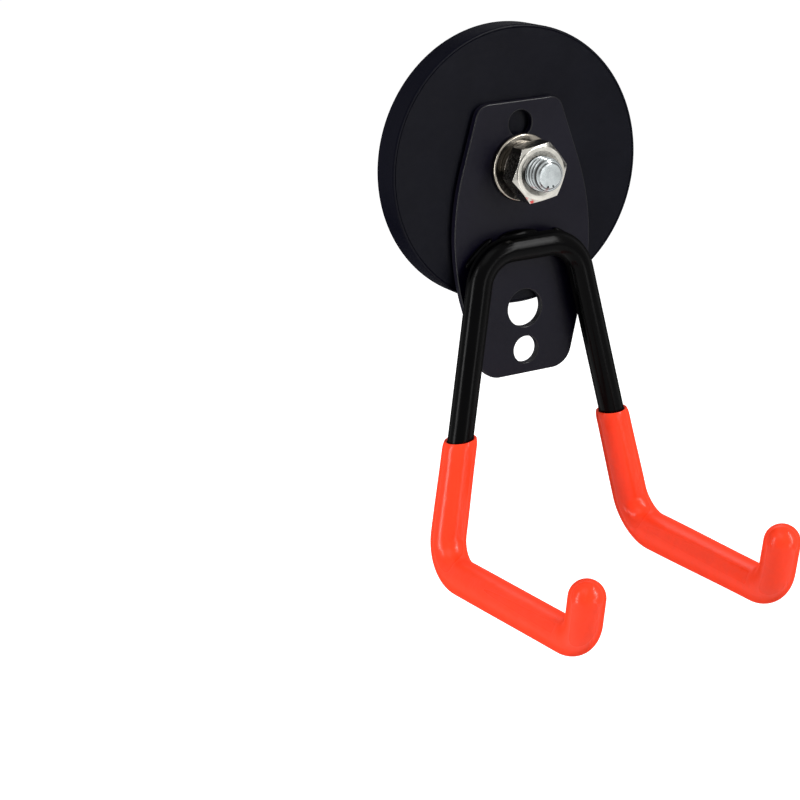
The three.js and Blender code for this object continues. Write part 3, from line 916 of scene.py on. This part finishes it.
class HOOK_OT_welds(Operator):
    """Lay the three weld beads between the rod and the plate"""

    bl_idname = "hook.welds"
    bl_label = "Welds"

    def bead(self, context, x, z, angle, length, thickness):
        sizes = context.scene.hook_welds
        radius = thickness / 2
        depth = depths("hook_plate")[1] + radius / 2
        deselect()
        bpy.ops.mesh.primitive_uv_sphere_add(
            segments=48, ring_count=24, radius=radius, rotation=(0, math.pi / 2, 0)
        )
        apply_place()
        piece = bpy.context.object
        edit_whole()
        bpy.ops.transform.resize(value=(length / thickness, 1, 1))
        bpy.ops.object.mode_set(mode="OBJECT")
        apply_modifier(piece, "REMESH", mode="VOXEL", voxel_size=0.16 * MM)
        ripples = bpy.data.textures.new("weld_ripples", "WOOD")
        ripples.wood_type = "BANDNOISE"
        ripples.noise_scale = 0.9 * MM
        ripples.turbulence = 2
        apply_modifier(
            piece, "DISPLACE", texture=ripples, texture_coords="LOCAL", strength=sizes.ripple,
            mid_level=0.8,
        )
        apply_modifier(piece, "SMOOTH", factor=0.5, iterations=8)
        piece.data.transform(Matrix.Translation((x, -depth, z)) @ Matrix.Rotation(-angle, 4, "Y"))
        return piece

    def execute(self, context):
        sizes = context.scene.hook_welds
        rod = context.scene.hook_rod
        colour = context.scene.hook_colours.rod
        finish = powder_finish("weld_coat", colour, gloss=0.2, level=0.025, peel=0.01 * MM)
        top = rod.diameter / 2 - sizes.inset - rod.crown_drop
        crown = self.bead(context, sizes.crown_shift, top, 0, sizes.crown_length, sizes.thickness)
        settle(crown, "bead_crown", "hook", "crown_weld", finish)
        reach = rod.diameter / 2 - sizes.corner_inset
        for side, name in ((-1, "left_weld"), (1, "right_weld")):
            corner, knee = [point for point, bend in rod_corners(context, side)[:2]]
            turn = math.atan2(corner.z - knee.z, side * (knee.x - corner.x))
            outward = reach - rod.crown_bend * (1 / math.cos(turn / 2) - 1)
            x = corner.x + side * math.sin(turn / 2) * outward
            z = corner.z + math.cos(turn / 2) * outward
            piece = self.bead(
                context, x, z, -side * turn / 2, sizes.corner_length, sizes.corner_thickness
            )
            settle(piece, f"bead_{name}", "hook", name, finish)
        return {"FINISHED"}


def ring_profile(outer, hole, back, front, edge):
    """A flat ring's section with rounded outer edges and small inner ones, as (radius, depth)."""
    inner = edge / 2
    return [
        *arc_profile((outer - edge, back + edge), edge, -90, 0, 4),
        *arc_profile((outer - edge, front - edge), edge, 0, 90, 4),
        (hole + inner, front),
        (hole, front - inner),
        (hole, back + inner),
        (hole + inner, back),
        (outer - edge, back),
    ]


class HOOK_OT_washers(Operator):
    """Turn the flat washer and the split spring washer"""

    bl_idname = "hook.washers"
    bl_label = "Washers"

    def execute(self, context):
        sizes = context.scene.hook_fasteners
        colours = context.scene.hook_colours
        sides = context.scene.hook_stage.sides
        back, front = depths("flat_washer")
        outer = width("flat_washer") / 2
        section = ring_profile(outer, sizes.washer_hole / 2, back, front, sizes.washer_edge)
        flat = turn_chain(section, sides)
        flat.data.transform(Matrix.Translation(sizes.washer_shift))
        bright_rim = 0.45 * MM
        # Painted dark reflection on the lower left of the washer's face, short of its outer rim.
        marks = [
            ring_mark(
                colours.oil_and_painted_shade, 0, outer - bright_rim, back,
                math.radians(222), math.radians(48), amount=1.25,
            )
        ]
        finish = plated_finish("washer_plating", colours.dull_nickel, 0.18, marks)
        settle(flat, "washer_flat", "hook", "flat_washer", finish)

        back, front = depths("lock_washer")
        outer = width("lock_washer") / 2
        section = ring_profile(outer, sizes.spring_hole / 2, back, front, sizes.spring_edge)
        spring = turn_chain(section, sides)
        split = (
            Matrix.Translation((0, -(back + front) / 2, 0))
            @ Matrix.Rotation(-sizes.spring_angle, 4, "Y")
            @ Matrix.Translation((outer, 0, 0))
            @ Matrix.Rotation(sizes.spring_lean, 4, "X")
            @ Matrix.Diagonal((2 * outer, 4 * (front - back), sizes.spring_split, 1))
        )
        cut_box(spring, split)
        finish = plated_finish("spring_plating", colours.spring, 0.18)
        settle(
            spring, "washer_spring", "spring_washer", "lock_washer",
            finish, smooth=30,
        )
        return {"FINISHED"}


def screw_thread(context, clearance, first_depth, last_depth):
    """A solid screw about the stud, longer at both ends than asked."""
    sizes = context.scene.hook_fasteners
    pitch = sizes.thread_pitch
    crest = sizes.thread_diameter / 2 + clearance
    root = crest - THREAD_HEIGHT * pitch
    first_turn = math.floor(first_depth / pitch) - 2
    turns = math.ceil(last_depth / pitch) + 2 - first_turn
    dip = 0.02 * pitch
    shares = (
        (0, root), (0.06, root - dip), (0.19, root - dip), (0.25, root), (0.5625, crest - dip),
        (0.59, crest), (0.66, crest), (0.6875, crest - dip), (1, root),
    )
    draw_chain([Vector((radius, -(first_turn + share) * pitch, 0)) for share, radius in shares])
    bpy.ops.object.mode_set(mode="OBJECT")
    thread = bpy.context.object
    apply_modifier(
        thread, "SCREW", axis="Y", angle=-math.tau, screw_offset=-pitch, iterations=turns,
        steps=64, render_steps=64,
    )
    edit_whole()
    bpy.ops.mesh.remove_doubles(threshold=0.001 * MM)
    middle = -(first_turn + turns / 2) * pitch
    for end in (-1, 1):
        bpy.ops.mesh.select_all(action="DESELECT")
        bpy.ops.mesh.select_mode(type="EDGE")
        bpy.ops.mesh.select_non_manifold()
        bpy.ops.object.mode_set(mode="OBJECT")
        for vertex in thread.data.vertices:
            vertex.select = vertex.select and end * (vertex.co.y - middle) > 0
        for edge in thread.data.edges:
            edge.select = edge.select and all(thread.data.vertices[v].select for v in edge.vertices)
        bpy.ops.object.mode_set(mode="EDIT")
        bpy.ops.mesh.extrude_region_move(TRANSFORM_OT_translate={"value": (0, end * pitch, 0)})
        bpy.ops.mesh.merge(type="CENTER")
    bpy.ops.mesh.select_mode(type="VERT")
    return close_mesh()


class HOOK_OT_nut(Operator):
    """Cut the nut: hexagon, turned corners, countersinks and thread"""

    bl_idname = "hook.nut"
    bl_label = "Nut"

    def execute(self, context):
        sizes = context.scene.hook_fasteners
        sides = context.scene.hook_stage.sides
        back, front = depths("hex_nut")
        corner = sizes.across_flats / 2 / math.cos(math.pi / 6)
        outside = corner * 1.01
        face = sizes.nut_face / 2
        deselect()
        # The primitive's first corner points up, and the nut is turned back from there
        bpy.ops.mesh.primitive_cylinder_add(
            vertices=6, radius=corner, depth=front - back, location=(0, -(back + front) / 2, 0),
            rotation=(math.pi / 2, math.pi / 6 - sizes.nut_angle, 0),
        )
        apply_place()
        nut = bpy.context.object
        turned = turn_chain([
            (0, back), (face, back), (outside, back + sizes.nut_chamfer),
            (outside, front - sizes.nut_chamfer), (face, front), (0, front),
        ], sides)
        combine(nut, turned, "INTERSECT")
        round_edges(nut, sizes.nut_edge, segments=2, sharpest=18)
        crest = sizes.thread_diameter / 2 + sizes.thread_clearance
        bore = crest - THREAD_HEIGHT * sizes.thread_pitch
        mouth = sizes.nut_mouth / 2
        slope = (mouth - bore) / sizes.nut_mouth_depth
        overrun = 1 * MM
        wide = mouth + slope * overrun
        for end, outward in ((front, 1), (back, -1)):
            start = end + outward * overrun
            stop = end - outward * sizes.nut_mouth_depth
            cone = turn_chain([(0, start), (wide, start), (bore, stop), (0, stop)], sides)
            combine(nut, cone, "DIFFERENCE")
        combine(nut, screw_thread(context, sizes.thread_clearance, back, front), "DIFFERENCE")
        colours = context.scene.hook_colours

        def on_face(angle, share):
            """A place on the nut's front, at an angle and at a share of the way to a corner."""
            turn = math.radians(angle) + sizes.nut_angle
            reach = corner * share
            return Vector((math.cos(turn) * reach, -front, math.sin(turn) * reach))

        def dark_reflection(outer, angle, spread, amount, behind=False):
            """Painted dark reflection on the turned corners, or on the flats behind them."""
            turn = math.radians(angle) + sizes.nut_angle
            chamfer = front - sizes.nut_chamfer
            return ring_mark(
                colours.oil_and_painted_shade, face, outer, chamfer, turn, math.radians(spread), amount, behind
            )

        all_over = 2 * corner
        dull_wall = bore + 0.5 * MM
        marks = [
            # Painted dark reflections on the turned corners and on the flats behind them.
            dark_reflection(all_over, 240, 80, 0.2),
            dark_reflection(face + 0.26 * MM, 150, 30, 0.85),
            dark_reflection(all_over, 30, 37, 0.95),
            dark_reflection(all_over, 90, 42, 1.35, behind=True),
            dark_reflection(all_over, 165, 60, 1.0, behind=True),
            ring_mark(colours.nickel, dull_wall, mouth, front - 0.9 * MM, amount=0.9, paint=True),
            patch(colours.mark, on_face(241, 0.947), 0.6 * MM, 0.25),
            patch(colours.mark, on_face(226, 0.91), 0.45 * MM, 0.6, strength=0.3),
            # Painted shade in the nut's thread.
            grooves(colours.oil_and_painted_shade, bore, bore + 0.15 * MM, front - GAP),
        ]
        finish = plated_finish("nut_plating", colours.nickel, 0.17, marks, tooling=0.0004 * MM)
        settle(nut, "nut", "nut", "hex_nut", finish, smooth=30)
        return {"FINISHED"}


class HOOK_OT_stud(Operator):
    """Turn the stud and roll its thread"""

    bl_idname = "hook.stud"
    bl_label = "Stud"

    def execute(self, context):
        sizes = context.scene.hook_fasteners
        sides = context.scene.hook_stage.sides
        head_back, end = depths("threaded_stud")
        head_front = head_back + sizes.head_thickness
        thread_start = depths("rubber_coat")[1] + GAP
        shank = sizes.shank_diameter / 2
        head = width("threaded_stud") / 2
        crest = sizes.thread_diameter / 2
        point = end - sizes.point_length
        point_radius = sizes.point_diameter / 2
        stud = turn_chain([
            (0, head_back), (head, head_back), (head, head_front), (shank, head_front),
            (shank, thread_start), (0, thread_start),
        ], sides)
        lead = 0.5 * MM
        outside = crest * 1.1
        rim = 0.12 * MM
        worn_start = end - 0.7 * MM
        envelope = turn_chain([
            (0, thread_start - lead), (crest * 0.8, thread_start - lead),
            (outside, thread_start + lead), (outside, point), (crest, point),
            (crest - sizes.worn_crest, worn_start),
            *arc_profile((point_radius - rim, end - rim), rim, 40, 90, 4), (0, end),
        ], sides)
        thread = screw_thread(context, 0, thread_start, end)
        combine(thread, envelope, "INTERSECT")
        combine(stud, thread, "UNION")
        colours = context.scene.hook_colours
        root = crest - THREAD_HEIGHT * sizes.thread_pitch
        bevel = point_radius + 0.02 * MM
        last_turn = end - 0.8 * MM
        marks = [
            # Painted shade in the thread's grooves and on the worn last turn, and a dark ring round
            # the bevel of the flat end.
            grooves(colours.oil_and_painted_shade, root + 0.25 * MM, root + 0.58 * MM, last_turn),
            ring_mark(colours.oil_and_painted_shade, bevel, bevel + 0.32 * MM, end - 0.6 * MM, amount=0.9),
            ring_mark(colours.oil_and_painted_shade, crest - 0.5 * MM, crest - 0.32 * MM, last_turn, amount=0.8),
        ]
        middle = Vector((point_radius - 0.3 * MM, -end, 0))
        nick = (
            Matrix.Translation(middle)
            @ Matrix.Rotation(math.pi / 4, 4, "Y")
            @ Matrix.Diagonal((sizes.nick, 2 * sizes.nick_depth, sizes.nick, 1))
        )
        for angle in sizes.nick_angles:
            turn = Matrix.Rotation(-angle, 4, "Y")
            cut_box(stud, turn @ nick)
            marks.append(patch(colours.oil_and_painted_shade, turn @ middle, 0.3 * MM, 0.3, paint=False))
        finish = plated_finish(
            "stud_plating", colours.zinc, 0.22, marks, tooling=0.0003 * MM, mottle=0.8
        )
        settle(stud, "stud", "magnet", "threaded_stud", finish, smooth=30)
        return {"FINISHED"}


# Stage


def add_lamp(name, place, size, energy, roll=0):
    """A soft white lamp that faces the hook, turned about its own beam."""
    hook_middle = Vector((0, -0.04, -0.04))
    deselect()
    bpy.ops.object.light_add(type="AREA", location=place)
    lamp = bpy.context.object
    lamp.name = name
    facing = (hook_middle - Vector(place)).to_track_quat("-Z", "Y").to_matrix()
    lamp.rotation_euler = (facing @ Matrix.Rotation(math.radians(roll), 3, "Z")).to_euler()
    lamp.data.shape = "RECTANGLE"
    lamp.data.size, lamp.data.size_y = size
    lamp.data.energy = energy


class HOOK_OT_stage(Operator):
    """Set up the pale floor, the white background, the soft lamps and the camera"""

    bl_idname = "hook.stage"
    bl_label = "Stage"

    def camera(self, context):
        settings = context.scene.hook_stage

        def back(azimuth, elevation):
            level = math.cos(elevation)
            return Vector((math.sin(azimuth) * level, -math.cos(azimuth) * level, math.sin(elevation)))

        place = back(settings.azimuth, settings.elevation) * settings.distance
        away = back(settings.aim_azimuth, settings.aim_elevation)
        right = Vector((0, 0, 1)).cross(away).normalized()
        up = away.cross(right)
        turn = Matrix((right, up, away)).transposed().to_4x4()
        deselect()
        bpy.ops.object.camera_add()
        camera = bpy.context.object
        camera.matrix_world = (
            Matrix.Translation(place) @ turn @ Matrix.Rotation(settings.roll, 4, "Z")
        )
        camera.data.sensor_width = 36
        camera.data.lens = settings.lens
        camera.data.clip_start = 0.01
        context.scene.camera = camera

    def world(self, context):
        world = bpy.data.worlds.new("studio")
        context.scene.world = world
        world.use_nodes = True
        tree = world.node_tree
        shade = tree.nodes["Background"]
        strength = tree.nodes.new("ShaderNodeMapRange")
        strength.inputs["To Min"].default_value = 0.1
        strength.inputs["To Max"].default_value = 1.0
        tree.links.new(seen_directly(tree), strength.inputs["Value"])
        tree.links.new(strength.outputs["Result"], shade.inputs["Strength"])
        shade.inputs["Color"].default_value = (1, 1, 1, 1)

    def execute(self, context):
        settings = context.scene.hook_stage
        self.camera(context)
        self.world(context)
        deselect()
        bpy.ops.mesh.primitive_plane_add(size=8, location=(0, 0, -settings.floor_drop))
        apply_place()
        floor = bpy.context.object
        floor.name = "floor"
        floor.data.materials.append(floor_finish())
        add_lamp("lamp_key", (0.5, -0.73, 0.48), (0.10, 1.1), 9.5, roll=-24)
        add_lamp("lamp_right", (0.4, -0.76, 0.5), (0.2, 0.2), 1.5)
        add_lamp("lamp_left", (-0.88, -0.03, 0.0), (0.2, 0.6), 5.5)
        add_lamp("lamp_upper_left", (-0.86, -0.06, 0.47), (0.2, 0.2), 1.6)
        add_lamp("lamp_low_right", (0.2, -0.97, -0.14), (0.2, 0.35), 1.3)
        add_lamp("lamp_top", (-0.4, -0.35, 0.8), (0.6, 0.6), 2)
        add_lamp("lamp_back", (0.5, 0.85, 0.35), (0.5, 0.5), 5)
        context.scene.view_settings.view_transform = "Standard"
        return {"FINISHED"}


class HOOK_PT_panel(Panel):
    """Buttons and sizes of the magnetic hook"""

    bl_label = "Magnetic hook"
    bl_idname = "HOOK_PT_panel"
    bl_space_type = "VIEW_3D"
    bl_region_type = "UI"
    bl_category = "Hook"

    def draw(self, context):
        for name, group in GROUPS.items():
            box = self.layout.box()
            box.label(text=group.__name__)
            for size in group.__annotations__:
                box.prop(getattr(context.scene, name), size)
        for operator in STEPS:
            self.layout.operator(operator.bl_idname)


GROUPS = {
    "hook_magnet": HookMagnetSizes,
    "hook_plate": HookPlateSizes,
    "hook_rod": HookRodSizes,
    "hook_sleeves": HookSleeveSizes,
    "hook_fasteners": HookFastenerSizes,
    "hook_welds": HookWeldSizes,
    "hook_colours": HookColours,
    "hook_stage": HookStageSettings,
}
STEPS = (
    HOOK_OT_magnet_coat,
    HOOK_OT_magnet_core,
    HOOK_OT_plate,
    HOOK_OT_rod,
    HOOK_OT_welds,
    HOOK_OT_sleeves,
    HOOK_OT_washers,
    HOOK_OT_nut,
    HOOK_OT_stud,
    HOOK_OT_stage,
)


def register():
    for group in (*GROUPS.values(), *STEPS, HOOK_PT_panel):
        bpy.utils.register_class(group)
    for name, group in GROUPS.items():
        setattr(bpy.types.Scene, name, PointerProperty(type=group))


def unregister():
    for name in GROUPS:
        delattr(bpy.types.Scene, name)
    for group in (HOOK_PT_panel, *STEPS, *GROUPS.values()):
        bpy.utils.unregister_class(group)


def main():
    register()
    for step in STEPS:
        category, name = step.bl_idname.split(".")
        getattr(getattr(bpy.ops, category), name)()


if __name__ == "__main__":
    main()
